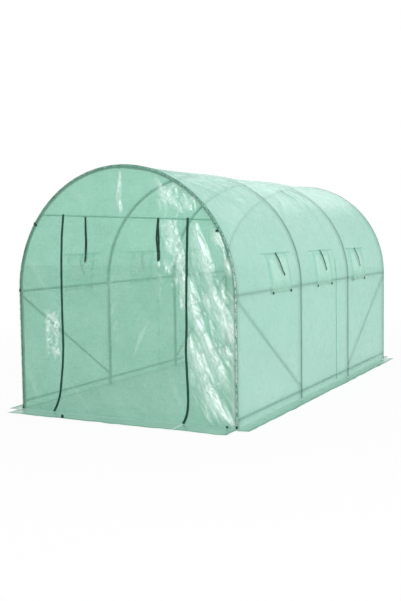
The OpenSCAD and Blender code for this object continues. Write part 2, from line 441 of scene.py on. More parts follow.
def woven_film(name, colour, deep, tint, clear, glow, gloss, grid=0.16, crumple_specks=0.0, coat=1.0, shine=1.0,
               crinkled=0.30, slubs=0.24):
    """Laminated film over woven tapes. The share clear goes straight through and the share glow lights it.

    colour is the film's own and deep that of its dense places. Where folds mark it, the film is painted white
    and less clear: partly whitened by folding, partly painted highlight of the glints along the folds. Where
    a tube lies right behind it or it is pressed in, painted shade turns it dark green.
    """
    f = Finish(name)
    cloth, across, along = f.cloth_place()
    place = f.object_place()
    tapes = f.math("MAXIMUM", f.wave(across, TAPE_PITCHES[0]), f.wave(along, TAPE_PITCHES[1]))
    broken = f.fit(f.noise(cloth, 9.0, 3.0, 0.6), 0.35, 0.65, 0.35, 1.0)
    tapes = f.math("MULTIPLY", f.math("POWER", tapes, 4.0), broken)
    threads = f.math("MULTIPLY", f.wave(across, THREAD_PITCH), f.wave(along, THREAD_PITCH))
    # With specks, the film is speckled light and dark instead of woven: painted light and shade of crumpled
    # film.
    if crumple_specks:
        specks = f.noise(f.stretched(cloth, (46.0, 150.0, 1.0)), 1.0, 3.0, 0.7)
        density = f.fit(specks, 0.5 - crumple_specks, 0.5 + crumple_specks, 0.0, 1.0)
    else:
        density = f.math("MULTIPLY", tapes, grid * 2.0)
        layers = [
            (f.patches(place, 3.1, 4.0, low=0.32, high=0.68), 0.36),
            (f.patches(f.stretched(cloth, (3.0, 150.0, 1.0)), 1.0), slubs),
            (f.patches(cloth, 46.0), 0.10),
        ]
        for layer, share in layers:
            density = f.math("ADD", density, f.math("MULTIPLY", layer, share), clamp=True)
    # Painted highlight: streaks slanted along the folds whiten the marked film like glints.
    slanted = f.stretched(cloth, (1.0, 1.0, 1.0), (0.0, 0.0, GLINT_STREAK_SLANT))
    streaks = f.noise(f.stretched(slanted, (110.0, 17.0, 1.0)), 1.0, 4.0, 0.68, 1.2)
    glint_streaks = f.fit(streaks, 0.32, 0.62, 0.24, 1.0)
    white = f.math("MULTIPLY", f.marks("white_and_glint"), glint_streaks, clamp=True)
    # Painted shade darkens the marked film to green, then the painted white and highlight go over it.
    body_colour = f.colours(f.marks("painted_shade"), f.colours(density, colour, deep), PAINTED_SHADE_GREEN)
    body_colour = f.colours(white, body_colour, GLINT_AND_CREASE_WHITE)
    crinkle = f.noise(f.stretched(cloth, (1.0, 0.8, 1.0)), 26.0, 4.0, 0.62, 0.7)
    flex = f.noise(cloth, 7.5, 2.0, 0.5, 0.4)
    skin = f.bump(f.math("ADD", f.math("MULTIPLY", threads, 0.5), tapes), 0.16, 0.0006)
    skin = f.bump(crinkle, crinkled, 0.0075, skin)
    skin = f.bump(flex, 0.30, 0.020, skin)
    rough = f.fit(f.noise(cloth, 12.0, 4.0, 0.6), 0.3, 0.7, gloss - 0.05, gloss + 0.10)
    body = f.add("ShaderNodeBsdfPrincipled", Base_Color=body_colour, Roughness=rough, IOR=FILM_IOR,
                 Normal=skin,
                 Specular_IOR_Level=shine, Coat_Weight=coat, Coat_Roughness=0.22, Coat_IOR=FILM_IOR,
                 Coat_Normal=skin)
    lit = f.add("ShaderNodeBsdfTranslucent", Color=body_colour, Normal=skin)
    gaps = f.add("ShaderNodeBsdfTransparent", Color=tint)
    clearness = f.fit(density, 0.0, 1.0, clear + 0.05, clear - 0.05)
    clearness = f.math("MULTIPLY", clearness, f.fit(white, 0.0, 1.0, 1.0, 0.25))
    return f.done(f.blend(clearness, f.blend(glow, body, lit), gaps))


def insect_net(name, colour, pitch=0.0035):
    """Knitted net with open holes."""
    f = Finish(name)
    _, across, along = f.cloth_place()
    strands = f.math("MAXIMUM", f.wave(across, pitch), f.wave(along, pitch))
    solid = f.fit(strands, 0.88, 0.95, 0.08, 1.0)
    shade = f.patches(f.object_place(), 40.0, rough=0.55)
    darker = tuple(c * 0.7 for c in colour)
    body = f.add("ShaderNodeBsdfPrincipled", Base_Color=f.colours(shade, colour, darker),
                 Roughness=0.6, Normal=f.bump(strands, 0.5, 0.0008))
    gaps = f.add("ShaderNodeBsdfTransparent", Color=(1.0, 1.0, 1.0))
    return f.done(f.blend(solid, gaps, body))


def woven_tape(name, dark, light, rib=0.0024, gloss=0.55):
    """Webbing or zip tape: ribs, a few fuzzy threads and faded places."""
    f = Finish(name)
    _, along, across = f.cloth_place()
    knit = f.math("MULTIPLY", f.wave(along, rib), f.wave(across, rib * 1.7))
    fade = f.patches(f.object_place(), 34.0, 4.0)
    share = f.math("ADD", f.math("MULTIPLY", knit, 0.55), f.math("MULTIPLY", fade, 0.4), clamp=True)
    rough = f.fit(fade, 0.0, 1.0, gloss - 0.06, gloss + 0.12)
    body = f.add("ShaderNodeBsdfPrincipled", Base_Color=f.colours(share, dark, light), Roughness=rough,
                 Normal=f.bump(knit, 0.6, 0.0008), Specular_IOR_Level=0.25, Sheen_Weight=0.02,
                 Sheen_Roughness=0.5)
    return f.done(body)


def coated_tube(name, colour, worn, metallic, gloss):
    """Coated or plated metal: a little orange peel, cloudy gloss and small rubbed places."""
    f = Finish(name)
    place = f.object_place()
    cloud = f.patches(place, 16.0, 5.0, low=0.35)
    scuff = f.add("ShaderNodeTexVoronoi", Vector=f.stretched(place, (1.0, 1.0, 0.35)), Scale=46.0)
    spots = f.fit(scuff.outputs["Distance"], 0.0, 0.10, 0.8, 0.0)
    share = f.math("ADD", f.math("MULTIPLY", cloud, 0.45), spots, clamp=True)
    rough = f.fit(f.noise(place, 60.0, 4.0, 0.6), 0.3, 0.7, gloss - 0.08, gloss + 0.12)
    peel = f.noise(place, 420.0, 2.0, 0.5)
    body = f.add("ShaderNodeBsdfPrincipled", Base_Color=f.colours(share, colour, worn), Roughness=rough,
                 Metallic=metallic, Normal=f.bump(peel, 0.15, 0.0003))
    return f.done(body)


# The front's film is the same woven film as the cover's, painted darker and greener: painted shade of the
# shaded inside seen through the front.
front_film_shaded = woven_film("front_film_shaded", (0.43, 0.675, 0.56), (0.18, 0.43, 0.315), (0.65, 0.86, 0.76),
                        0.38, 0.56, 0.27, grid=0.24)
cover_film = woven_film("cover_film", (0.60, 0.82, 0.75), (0.40, 0.69, 0.60), (0.74, 0.91, 0.86),
                        0.17, 0.65, 0.28, grid=0.26, coat=0.35, crinkled=0.14, slubs=0.12)
flap_film = woven_film("window_flap_film", (0.74, 0.91, 0.85), (0.58, 0.82, 0.74), (0.88, 0.97, 0.93),
                       0.30, 0.68, 0.28)
hem_film = woven_film("hem_film", (0.42, 0.67, 0.57), (0.28, 0.55, 0.45), (0.64, 0.86, 0.78),
                      0.18, 0.45, 0.30)
# The binding's light and dark specks are painted light and shade of its crumpled film.
binding_film = woven_film("binding_film", (0.50, 0.80, 0.69), (0.01, 0.18, 0.125), (0.60, 0.84, 0.74),
                          0.20, 0.40, 0.36, crumple_specks=0.05, coat=0.10, shine=0.4)
ground_film = woven_film("ground_flap_film", (0.44, 0.68, 0.58), (0.27, 0.53, 0.43), (0.70, 0.88, 0.80),
                         0.14, 0.35, 0.30)
net_mesh = insect_net("insect_net", (0.66, 0.86, 0.78))
green_tape = woven_tape("dark_green_webbing", (0.004, 0.026, 0.018), (0.012, 0.062, 0.043))
zip_tape = woven_tape("zip_tape", (0.003, 0.036, 0.024), (0.012, 0.085, 0.060), 0.0018)
seam_thread = woven_tape("stitched_seam", (0.10, 0.28, 0.21), (0.20, 0.42, 0.33), 0.0055, 0.5)
tube_coat = coated_tube("coated_frame_tube", (0.008, 0.190, 0.120), (0.07, 0.27, 0.20), 0.0, 0.40)
bolt_zinc = coated_tube("plated_bolts", (0.42, 0.44, 0.43), (0.60, 0.62, 0.60), 0.9, 0.28)
slider_metal = coated_tube("zip_slider", (0.02, 0.05, 0.04), (0.10, 0.13, 0.12), 0.6, 0.34)


# ------------------------------------------------------------ the cover, one sheet over all the hoops
def right_side(degrees):
    """Distance round the cover to a place on the right-hand slope, in degrees above the arch's foot."""
    return LEG_TOP + ARCH_RUN - FILM_R * degrees * math.pi / 180


def left_side(degrees):
    """The same on the left-hand slope."""
    return LEG_TOP + FILM_R * degrees * math.pi / 180


# The windows' openings run from one height to another, in degrees above the arch's foot.
flap_boxes = [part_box(f"window_flap_right_{i}") for i in (1, 2, 3)]
WINDOW_YS = [(low.y + high.y) / 2 for low, high in flap_boxes]
WINDOW_HALF = 0.17
WINDOW_LOW = 3.5
WINDOW_HIGH = 14.5

# Folds are written as their path, how wide they are to each side, their height and how far they lean.
COVER_FOLDS = [
    ([(right_side(66), 0.30), (right_side(58), 0.16), (right_side(50), 0.26)], 0.060, 0.0075),
    ([(right_side(64), 0.44), (right_side(57), 0.52), (right_side(51), 0.42)], 0.055, -0.0060),
    ([(right_side(34), -0.60), (right_side(43), -0.42), (right_side(52), -0.18)], 0.050, 0.0050),
    ([(right_side(30), -0.52), (right_side(20), -0.36)], 0.040, 0.0035),
    ([(right_side(62), -1.86), (right_side(49), -1.45), (right_side(41), -0.95)], 0.070, 0.0055),
    ([(right_side(76), -1.80), (right_side(68), -1.25), (right_side(64), -0.82)], 0.080, 0.0050),
    ([(right_side(36), -1.90), (right_side(27), -1.58)], 0.050, 0.0045),
    ([(right_side(80), 0.78), (right_side(67), 1.20), (right_side(60), 1.80)], 0.070, 0.0050),
    ([(GIRTH - 0.70, -1.95), (GIRTH - 0.69, -1.66)], 0.030, 0.0045),
    ([(GIRTH - 0.93, -0.60), (GIRTH - 0.55, -0.35), (GIRTH - 0.20, -0.28)], 0.045, 0.0040),
    ([(GIRTH - 0.90, 0.78), (GIRTH - 0.60, 0.92), (GIRTH - 0.25, 1.02)], 0.045, 0.0040),
]
COVER_FOLDS += small_folds(70, 11, (0.12, GIRTH - 0.12), (-1.90, 1.90), (0.10, 0.42), (0.018, 0.042),
                           (0.0010, 0.0032), 0.6)
cover_waves = ripples(30, 1.1, 0.22, 7)
cover_crumple = ripples(36, 0.20, 0.055, 8)


WALL_SAG = 0.0030
ROOF_SAG = 0.0085
WAVE_RISE = 0.0034
CRUMPLE_RISE = 0.0009
HELD_BY_RAIL = 0.75
RAIL_REACH = 0.07
HOOP_REACH = 0.05
FOOT_REACH = 0.10


def cover_stand(s, t):
    """How far the cover stands out of its round shape: it sags between the hoops and carries folds."""
    bay = HOOP_YS[1] - HOOP_YS[0]
    gap = np.min([np.abs(t - y) for y in HOOP_YS], axis=0)
    loose = np.clip(np.sin(math.pi * np.clip(gap / bay, 0, 0.5)), 0, 1) ** 1.1
    near_rail = np.ones_like(s)
    for rail in (SIDE_RAIL_Z, LEG_TOP + ARCH_RUN / 2, GIRTH - SIDE_RAIL_Z):
        near_rail = near_rail - HELD_BY_RAIL * np.exp(-(((s - rail) / RAIL_REACH) ** 2))
    turn = np.clip((s - LEG_TOP) / ARCH_RUN, 0, 1)
    sag = WALL_SAG + ROOF_SAG * np.sin(math.pi * turn)
    stand = -sag * loose * near_rail
    stand = stand + loose * (WAVE_RISE * cover_waves(s, t) + CRUMPLE_RISE * cover_crumple(s, t))
    stand = stand + folded(s, t, COVER_FOLDS) * np.clip(gap / HOOP_REACH, 0, 1)
    foot = np.minimum(s, GIRTH - s)
    return stand * np.clip(foot / FOOT_REACH, 0, 1)


def on_cover(s, t, out=0.0):
    """A point at distance s round the cover from its left foot and t along the tunnel.

    Past the end hoops' centres it wraps round them.
    """
    s = np.asarray(s, float)
    t = np.asarray(t, float) + 0 * s
    past = np.maximum(np.abs(t) - HOOP_Y, 0)
    wrap = past / WRAP_R
    turn = math.pi - np.clip(s - LEG_TOP, 0, ARCH_RUN) / FILM_R
    side_left = s < LEG_TOP
    side_right = s > LEG_TOP + ARCH_RUN
    straight = side_left | side_right
    nx = np.where(side_left, -1.0, np.where(side_right, 1.0, np.cos(turn)))
    nz = np.where(straight, 0.0, np.sin(turn))
    up = np.where(side_left, s, np.where(side_right, GIRTH - s, LEG_TOP))
    reach = (WRAP_R + out) * np.cos(wrap) + np.where(past > 0, 0, cover_stand(s, t))
    y = np.sign(t) * (np.minimum(np.abs(t), HOOP_Y) + (WRAP_R + out) * np.sin(wrap))
    return nx * (HOOP_R + reach), y, up + nz * (HOOP_R + reach)


def beside_windows(s, t):
    """True where there is film and False in the six windows."""
    across = np.any([np.abs(t - y) < WINDOW_HALF for y in WINDOW_YS], axis=0)
    on_left = (s > left_side(WINDOW_LOW)) & (s < left_side(WINDOW_HIGH))
    on_right = (s > right_side(WINDOW_HIGH)) & (s < right_side(WINDOW_LOW))
    return ~(across & (on_left | on_right))


RIGHT_LEG_S = GIRTH - LEG_TOP
HOOP_SHADE_REACH = 0.0175


def down_right_leg(s):
    """0 up the arch and 1 from a little above the right leg's top down to its foot."""
    return np.clip((s - (RIGHT_LEG_S - 0.45)) / 0.3, 0, 1)


def hoop_shade_on_cover(s, t):
    """How dark the cover is painted where the inner hoops lie right behind it: painted shade of the hoops,
    which keep the light from inside off the tight cover.
    """
    gap = np.min([np.abs(t - y) for y in HOOP_YS[1:3]], axis=0)
    return 0.62 * np.exp(-((gap / HOOP_SHADE_REACH) ** 6)) + 0 * s


def glint_at_front_leg(s, t):
    """How white the cover is painted where it turns round the front's right leg: painted highlight of the
    crumpled film there.
    """
    return 0.85 * down_right_leg(s) * np.clip((-t - HOOP_Y + 0.003) / 0.004, 0, 1)


def tunnel_cover():
    """The whole cover, with its six window openings."""
    round_stops = [0.0, left_side(WINDOW_LOW), left_side(WINDOW_HIGH), right_side(WINDOW_HIGH),
                   right_side(WINDOW_LOW), GIRTH]
    edges = [y + side * WINDOW_HALF for y in WINDOW_YS for side in (-1, 1)]
    beside_hoops = [y + step * CREASE_GRID for y in HOOP_YS[1:3] for step in (-3, -2, -1, 0, 1, 2, 3)]
    middle = even_steps(sorted([-HOOP_Y] + edges + beside_hoops + [HOOP_Y]), FILM_GRID)
    wrap = np.linspace(HOOP_Y, HOOP_Y + WRAP_RUN, 6)[1:]
    along = np.concatenate([-wrap[::-1], middle, wrap])
    around = even_steps(round_stops, FILM_GRID)
    # The cover is painted white with highlight round the front's right leg, and with painted shade along the
    # inner hoops.
    cover = sheet_from_grid("tunnel_cover", around, along, on_cover, beside_windows,
                            white_and_glint=glint_at_front_leg, painted_shade=hoop_shade_on_cover)
    film_sheet(cover, cover_film, (GIRTH, 2 * (HOOP_Y + WRAP_RUN)),
               from_axis)
    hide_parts("roof_cover", "wall_cover_left", "wall_cover_right")


# ------------------------------------------------------------ front and rear walls
ZIP_WIDTH = 0.021
ZIP_TOP = 1.604
left_zip = smooth_curve([(0.0, -0.676), (0.07, -0.634), (0.16, -0.603), (0.48, -0.562), (0.94, -0.566),
                         (1.30, -0.559), (1.52, -0.546), (1.62, -0.528)], 0.07)
right_zip = smooth_curve([(0.0, 0.538), (0.06, 0.575), (0.15, 0.590), (0.32, 0.588), (0.52, 0.575),
                          (0.80, 0.586), (1.28, 0.595), (1.60, 0.609)], 0.07)


SEAM_MIDDLE_Z = 1.593
SEAM_FALL = 0.046


def seam_z(x):
    """Height of the seam above the door. It runs a little downhill to the right."""
    return SEAM_MIDDLE_Z - SEAM_FALL * x


def arch_half(z):
    """Half the width of the end wall at a height."""
    rise = np.clip(z - LEG_TOP, 0, HOOP_R)
    return np.sqrt(HOOP_R ** 2 - rise ** 2)


RIGHT_FOLDS = [
    ([(0.606, 0.690), (0.635, 0.605), (0.700, 0.490), (0.755, 0.330)], 0.090, 0.028, 0.4),
    ([(0.735, 0.400), (0.768, 0.290), (0.840, 0.170), (0.962, 0.022)], 0.090, 0.034, 0.4),
    ([(0.676, 0.810), (0.750, 0.665), (0.829, 0.524), (0.896, 0.361), (0.945, 0.280)], 0.075, 0.025, 0.4),
    ([(0.885, 0.850), (0.935, 0.745), (0.970, 0.640)], 0.075, 0.026, 0.4),
    ([(0.609, 0.440), (0.635, 0.360), (0.650, 0.300)], 0.040, 0.011, 0.3),
    ([(0.872, 0.606), (0.968, 0.545)], 0.050, 0.014, 0.3),
    ([(0.664, 1.560), (0.712, 1.385), (0.768, 1.255), (0.802, 1.075)], 0.080, 0.024, 0.4),
    ([(0.800, 1.085), (0.834, 0.960), (0.898, 0.876), (0.968, 0.745)], 0.085, 0.032, 0.4),
    ([(0.600, 1.140), (0.632, 0.955), (0.690, 0.803), (0.740, 0.720)], 0.080, 0.026, 0.4),
    ([(0.752, 1.010), (0.790, 0.895)], 0.040, 0.012, 0.3),
    ([(0.878, 1.050), (0.928, 0.925)], 0.050, 0.016, 0.3),
    ([(0.861, 1.475), (0.858, 1.365)], 0.050, 0.014, 0.3),
    ([(0.926, 1.270), (0.968, 1.130)], 0.050, 0.016, 0.3),
    ([(0.755, 1.290), (0.787, 1.160)], 0.040, 0.012, 0.3),
    ([(0.800, 1.500), (0.905, 1.350)], 0.050, 0.014, 0.3),
    ([(0.640, 1.350), (0.668, 1.180), (0.700, 1.060)], 0.040, 0.010, 0.3),
]
RIGHT_FOLDS += small_folds(100, 21, (0.62, 0.96), (0.06, 1.50), (0.08, 0.30), (0.011, 0.024),
                           (0.0040, 0.0100), 0.96, 0.38, 0.22)
LEFT_FOLDS = [
    ([(-0.715, 0.545), (-0.655, 0.525), (-0.600, 0.485)], 0.030, 0.015, 0.3),
    ([(-0.712, 0.860), (-0.716, 0.650), (-0.722, 0.440)], 0.026, 0.018, 0.3),
    ([(-0.630, 0.800), (-0.622, 0.660), (-0.620, 0.520)], 0.024, 0.014, 0.3),
    ([(-0.960, 0.420), (-0.880, 0.250), (-0.820, 0.060)], 0.040, 0.006),
    ([(-0.900, 1.300), (-0.760, 1.080), (-0.640, 0.960)], 0.045, 0.005),
]
LEFT_FOLDS += small_folds(34, 28, (-0.71, -0.61), (0.48, 0.80), (0.05, 0.20), (0.014, 0.022),
                          (0.0100, 0.0160), 0.9)
LEFT_FOLDS += small_folds(26, 22, (-0.94, -0.62), (0.06, 1.50), (0.05, 0.20), (0.014, 0.030),
                          (0.0010, 0.0030), 0.6)
DOOR_FOLDS = [
    ([(0.256, 0.797), (0.169, 0.632), (0.110, 0.497)], 0.024, 0.0120, 0.2),
    ([(-0.039, 0.790), (-0.069, 0.695)], 0.022, 0.0100, 0.2),
    ([(-0.050, 0.930), (-0.100, 0.800)], 0.022, 0.0080, 0.2),
    ([(-0.030, 1.180), (-0.120, 1.040), (-0.110, 0.900)], 0.028, 0.0060),
    ([(0.436, 1.580), (0.470, 1.430), (0.452, 1.300)], 0.060, 0.0180, 0.3),
    ([(0.530, 1.450), (0.556, 1.190), (0.560, 0.985)], 0.048, 0.0160, 0.2),
    ([(0.500, 1.540), (0.515, 1.400), (0.500, 1.260)], 0.040, 0.0120, 0.3),
    ([(0.420, 0.420), (0.500, 0.210), (0.570, 0.060)], 0.040, 0.005),
    ([(-0.520, 0.300), (-0.400, 0.130), (-0.340, 0.020)], 0.040, 0.004),
]
DOOR_FOLDS += small_folds(48, 27, (0.34, 0.57), (0.95, 1.56), (0.05, 0.20), (0.014, 0.026),
                          (0.0040, 0.0100), 0.9)
DOOR_FOLDS += small_folds(46, 23, (-0.50, 0.52), (0.06, 1.50), (0.06, 0.30), (0.016, 0.036),
                          (0.0008, 0.0024), 0.55)
TOP_FOLDS = [
    ([(0.017, 1.962), (0.013, 1.820), (0.009, 1.690)], 0.018, 0.0200, 0.2),
    ([(0.012, 1.860), (-0.012, 1.745), (0.004, 1.660)], 0.018, 0.0160, 0.2),
    ([(0.012, 1.720), (0.016, 1.650), (0.010, 1.605)], 0.020, 0.0200, 0.2),
    ([(0.330, 1.900), (0.395, 1.790), (0.520, 1.660)], 0.050, 0.0160, 0.3),
    ([(0.560, 1.780), (0.600, 1.700), (0.640, 1.620)], 0.045, 0.0150, 0.3),
    ([(0.450, 1.800), (0.500, 1.700), (0.560, 1.610)], 0.036, 0.0110, 0.3),
    ([(-0.430, 1.850), (-0.350, 1.740), (-0.330, 1.640)], 0.050, 0.005),
]
TOP_FOLDS += small_folds(50, 26, (0.34, 0.72), (1.61, 1.82), (0.05, 0.15), (0.014, 0.026),
                         (0.0045, 0.0100), 0.95)
TOP_FOLDS += small_folds(30, 24, (-0.62, 0.66), (1.62, 1.90), (0.05, 0.18), (0.014, 0.032),
                         (0.0010, 0.0032), 0.7)
FRONT_FOLDS = RIGHT_FOLDS + LEFT_FOLDS + DOOR_FOLDS + TOP_FOLDS
REAR_FOLDS = small_folds(90, 25, (-0.9, 0.9), (0.05, 1.85), (0.08, 0.34), (0.018, 0.040),
                         (0.0010, 0.0036), 0.6)
front_waves = ripples(30, 0.9, 0.16, 31)
front_crumple = ripples(40, 0.13, 0.035, 32)
rear_waves = ripples(30, 1.0, 0.20, 33)


def wall_stand(x, z, folds, waves, roughness):
    """How far an end wall stands out from its flat plane."""
    rise = np.maximum(z - LEG_TOP, 0)
    room = HOOP_R - np.hypot(x, rise)
    ease = np.clip(room / 0.035, 0, 1) * np.clip(z / 0.03, 0, 1)
    stand = 0.0045 * waves(x, z) + roughness * front_crumple(x, z)
    stand = stand + folded(x, z, folds)
    return stand * ease


MOST_GLINT_WHITE = 0.9
GLINT_WHITE_AT_RISE = 0.024


def fold_white_and_glint(x, z):
    """How white the front's film is painted at a place: partly whitened by folding, partly painted highlight
    of the glints along the folds and down the right leg. Sharp folds whiten it most.
    """
    total = 0.0
    for path, reach, rise, *rest in FRONT_FOLDS:
        lean = rest[0] if rest else 0.0
        share = min(MOST_GLINT_WHITE, abs(rise) / GLINT_WHITE_AT_RISE)
        total = total + crease(x, z, path, reach * 1.05, share, lean, 0.75)
    glint_at_right_leg = np.clip((x - 0.945) / 0.025, 0, 1) * np.clip((LEG_TOP + 0.2 - z) / 0.3, 0, 1)
    return total - 0.05 + 0.60 * glint_at_right_leg


def rim_shade_on_front(x, z):
    """How dark the front's film is painted where the front hoop lies right behind it: painted shade of the
    hoop, least on the right leg.
    """
    gap = HOOP_R - np.hypot(x, np.maximum(z - LEG_TOP, 0))
    right_leg = np.clip(x / 0.1, 0, 1) * np.clip((LEG_TOP - z) / 0.2, 0, 1)
    return (0.55 - 0.40 * right_leg) * np.clip((0.017 - gap) / 0.006, 0, 1)


def on_front(x, z, out=0.0):
    """A point of the front wall, with the crumpled part to the right of the door."""
    x = np.asarray(x, float)
    z = np.asarray(z, float)
    crumpled = 0.0008 + 0.0022 * np.clip((x - 0.50) / 0.15, 0, 1)
    stand = wall_stand(x, z, FRONT_FOLDS, front_waves, crumpled)
    for line in (left_zip, right_zip):
        stand = stand * (0.25 + 0.75 * np.clip(np.abs(x - line(z)) / 0.035, 0, 1))
    stand = stand * (0.3 + 0.7 * np.clip(np.abs(z - seam_z(x)) / 0.03, 0, 1))
    return x + 0 * z, -END_Y - stand - out, z + 0 * x


def on_rear(x, z, out=0.0):
    """A point of the rear wall."""
    x = np.asarray(x, float)
    z = np.asarray(z, float)
    return x + 0 * z, END_Y + wall_stand(x, z, REAR_FOLDS, rear_waves, 0.0008) + out, z + 0 * x


FOOT_Z = 0.003
PANEL_TALL = 1.62


def front_panel(name, inner, outer, node):
    """A part of the front between two upright lines, up to the seam above the door."""

    def grid_place(a, b):
        z = FOOT_Z + b * (ZIP_TOP - FOOT_Z)
        for _ in range(6):
            x = inner(z) + a * (outer(z) - inner(z))
            z = FOOT_Z + b * (seam_z(x) - FOOT_Z)
        return x, z

    wide = float(np.max(np.abs(outer(np.linspace(0, 1.5, 60)) - inner(np.linspace(0, 1.5, 60)))))
    rows = even_steps([0.0, 1.0], CREASE_GRID / wide)
    columns = even_steps([0.0, 1.0], CREASE_GRID / 1.6)
    # The film is painted white with highlight along its folds, and with painted shade along the hoop.
    panel = sheet_from_grid(name, rows, columns, lambda a, b: on_front(*grid_place(a, b)), cut=grid_place,
                            white_and_glint=lambda a, b: fold_white_and_glint(*grid_place(a, b)),
                            painted_shade=lambda a, b: rim_shade_on_front(*grid_place(a, b)))
    film_sheet(panel, front_film_shaded, (wide, PANEL_TALL), to_the_front)
    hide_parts(node)


def rounded_wall(name, base, surface, film, node, way, flat, steps, white_and_glint=None):
    """A rounded part of an end wall, from a line up to the hoop."""
    ends = []
    for side in (-1, 1):
        x = side * 0.7
        for _ in range(40):
            x = side * float(arch_half(base(x)))
        ends.append(x)

    def grid_place(a, b):
        x = ends[0] + (ends[1] - ends[0]) * (1 - np.cos(math.pi * a)) / 2
        top = LEG_TOP + np.sqrt(np.maximum(HOOP_R ** 2 - x ** 2, 0))
        low = np.minimum(base(x), top)
        return x, low + b * (top - low)

    wall = sheet_from_grid(name, even_steps([0.0, 1.0], steps[0]), even_steps([0.0, 1.0], steps[1]),
                           lambda a, b: surface(*grid_place(a, b)), cut=grid_place, merge=True,
                           white_and_glint=white_and_glint and (lambda a, b: white_and_glint(*grid_place(a, b))))
    film_sheet(wall, film, flat, way)
    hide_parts(node)


def end_walls():
    """The front's three lower parts, the rounded part above its seam, and the rear wall."""
    front_panel("front_panel_right", right_zip, arch_half, "front_wall_right")
    front_panel("front_panel_left", lambda z: -arch_half(z), left_zip, "front_wall_left")
    front_panel("door_sheet", left_zip, right_zip, "door_panel")
    rounded_wall("front_top_panel", seam_z, on_front, front_film_shaded, "front_wall_top", to_the_front,
                 (1.61, 0.41), (0.0034, 0.021), fold_white_and_glint)
    rounded_wall("rear_wall_film", lambda x: FOOT_Z + 0 * x, on_rear, cover_film, "rear_wall", to_the_rear,
                 (2 * HOOP_R, LEG_TOP + HOOP_R), (0.0095, 0.0125))


# ------------------------------------------------------------ bindings, stitches and seams
def round_the_end(side):
    """A surface for tapes on an end hoop: distance round it, and the turn from its side onto its face."""

    def place(s, turn, out=0.0):
        return on_cover(s, side * (HOOP_Y + WRAP_R * turn), out)

    return place


rim_crumple = ripples(44, 0.11, 0.020, 61)
leg_flakes = ripples(44, 0.075, 0.026, 62)
BINDING_START = 0.02
BINDING_MIDDLE = 0.975
BINDING_HALF = 0.525
LACING_TOP = LEG_TOP + 0.25


def flaked_highlight(s, turn):
    """How white the binding is painted in flakes down the right leg: painted highlight of its crumpled film.
    """
    return down_right_leg(s) * np.clip(0.75 + 2.4 * leg_flakes(s, turn * 0.03), 0, 1)


def dent_shade(s, turn):
    """How dark the binding is painted where it is pressed in between the flakes: painted shade."""
    return down_right_leg(s) * np.clip(0.05 - 2.4 * leg_flakes(s, turn * 0.03), 0, 1)


def hoop_binding(name, side, surface):
    """The folded binding round an end hoop, more crumpled down the legs."""

    def stand(s, turn):
        middle = np.clip(1 - np.abs(turn - BINDING_MIDDLE) / BINDING_HALF, 0, 1)
        right_leg = np.clip((s - (RIGHT_LEG_S - 0.25)) / 0.2, 0, 1)
        left_leg = np.clip((LEG_TOP - s) / 0.2, 0, 1)
        crumple = (0.0005 + 0.0056 * (right_leg + 0.5 * left_leg)) * rim_crumple(s, turn * 0.03)
        return surface(s, turn, 0.0012 + 0.0018 * middle + crumple * middle ** 0.5)

    rows = even_steps([BINDING_START, GIRTH - BINDING_START], 0.0085)
    # Down the right leg the binding gets painted highlight in flakes and painted shade between them.
    tape = sheet_from_grid(f"{name}_hoop_binding", rows, np.linspace(0.55, 1.45, 8), stand,
                           cut=lambda s, turn: (s, turn * WRAP_R), white_and_glint=flaked_highlight, painted_shade=dent_shade)
    film_sheet(tape, binding_film, (WRAP_R * 1.05, GIRTH - 2 * BINDING_START),
               round_the_rim(side))


def hoop_piping(name, side, surface):
    """The round piping beside an end hoop's binding."""

    def roll(s, across):
        lift = 0.0006 + 0.0022 * np.sqrt(np.maximum(1 - across ** 2, 0))
        return surface(s, 0.30 + 0.16 * across, lift)

    rows = even_steps([BINDING_START, GIRTH - BINDING_START], 0.012)
    piping = sheet_from_grid(f"{name}_hoop_piping", rows, np.linspace(-1, 1, 7), roll,
                             cut=lambda s, across: (across * 0.003, s))
    film_sheet(piping, seam_thread, (0.006, GIRTH), round_the_rim(side, 0.6))


def end_bindings():
    """The binding that joins the cover to each end wall, with its stitches and its piping."""
    for name, side in (("front", -1), ("rear", 1)):
        surface = round_the_end(side)
        hoop_binding(name, side, surface)
        path = [(BINDING_START, 1.30), (GIRTH * 0.5, 1.30), (GIRTH - BINDING_START, 1.30)]
        stitches(f"{name}_hoop_stitches", surface, path, 0.12, 0.0042)
        for hand, foot, top in (("left", 0.03, LACING_TOP), ("right", GIRTH - 0.03, GIRTH - LACING_TOP)):
            lacing = [(foot, 0.85), ((foot + top) / 2, 0.80), (top, 0.85)]
            stitches(f"{name}_leg_lacing_{hand}", surface, lacing, 0.38, 0.0050, 0.021, 0.0026)
        hoop_piping(name, side, surface)


